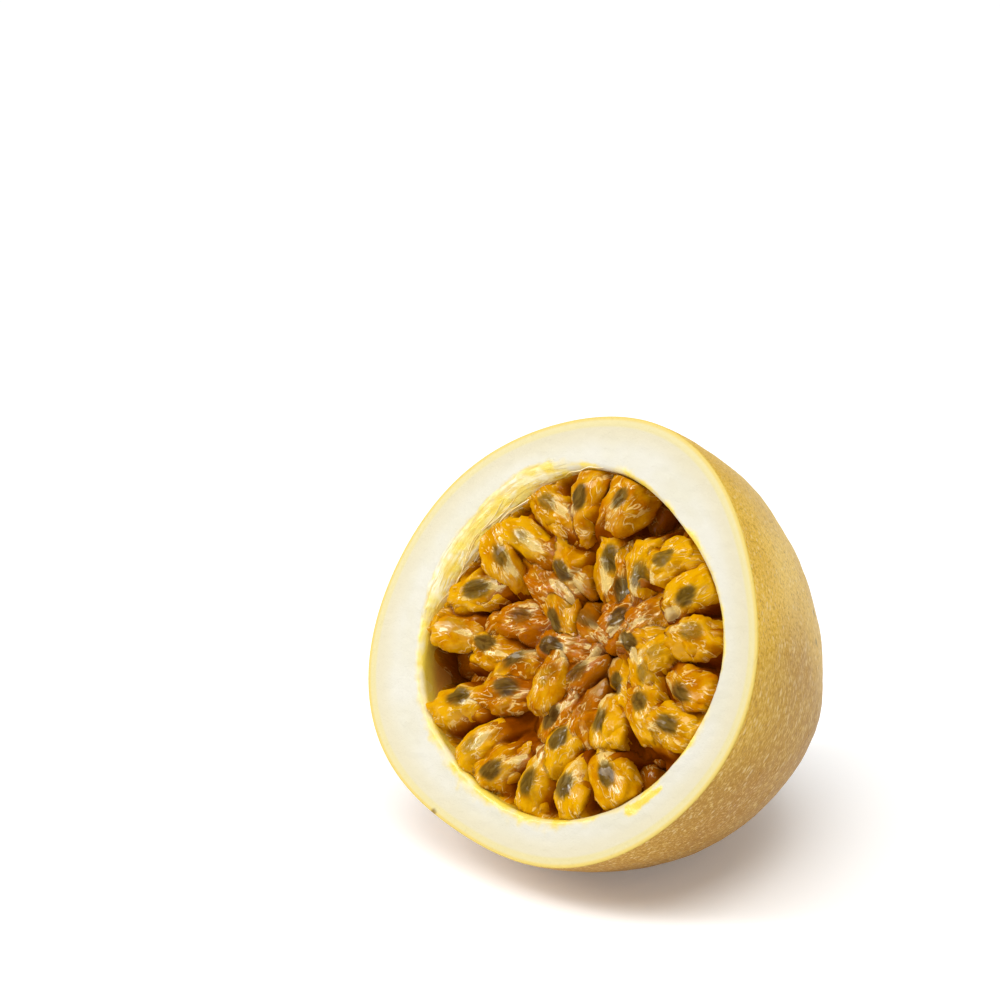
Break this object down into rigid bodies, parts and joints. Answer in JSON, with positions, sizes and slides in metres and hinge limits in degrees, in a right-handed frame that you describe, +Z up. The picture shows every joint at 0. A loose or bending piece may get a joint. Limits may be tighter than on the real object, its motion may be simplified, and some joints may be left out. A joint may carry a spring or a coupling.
{
  "type": "passion fruit half",
  "caption": "Cut half of a yellow passion fruit lying on its side: speckled skin, thick white rind, amber juice sacs and dark seeds.",
  "frame": {"origin": "middle of the small flat spot that the half rests on", "axes": "+Z up; the cut face looks towards -Y and 27.4 degrees upwards; the stem end points towards +Y and down; X runs along the cut face"},
  "size_m": [0.0757, 0.066, 0.0715],
  "materials": {
    "skin": "waxy yellow skin with fine pale specks",
    "rind": "moist creamy white spongy rind, yellowish at its outer edge",
    "juice": "wet translucent amber juice sacs",
    "seed": "dark brown seeds",
    "dry_stem": "dry dark brown stem"
  },
  "bodies": {
    "root": {"peel": "skin", "pith": "rind", "juice_sacs": "juice", "seeds": "seed", "stem": "dry_stem"}
  },
  "joints": []
}
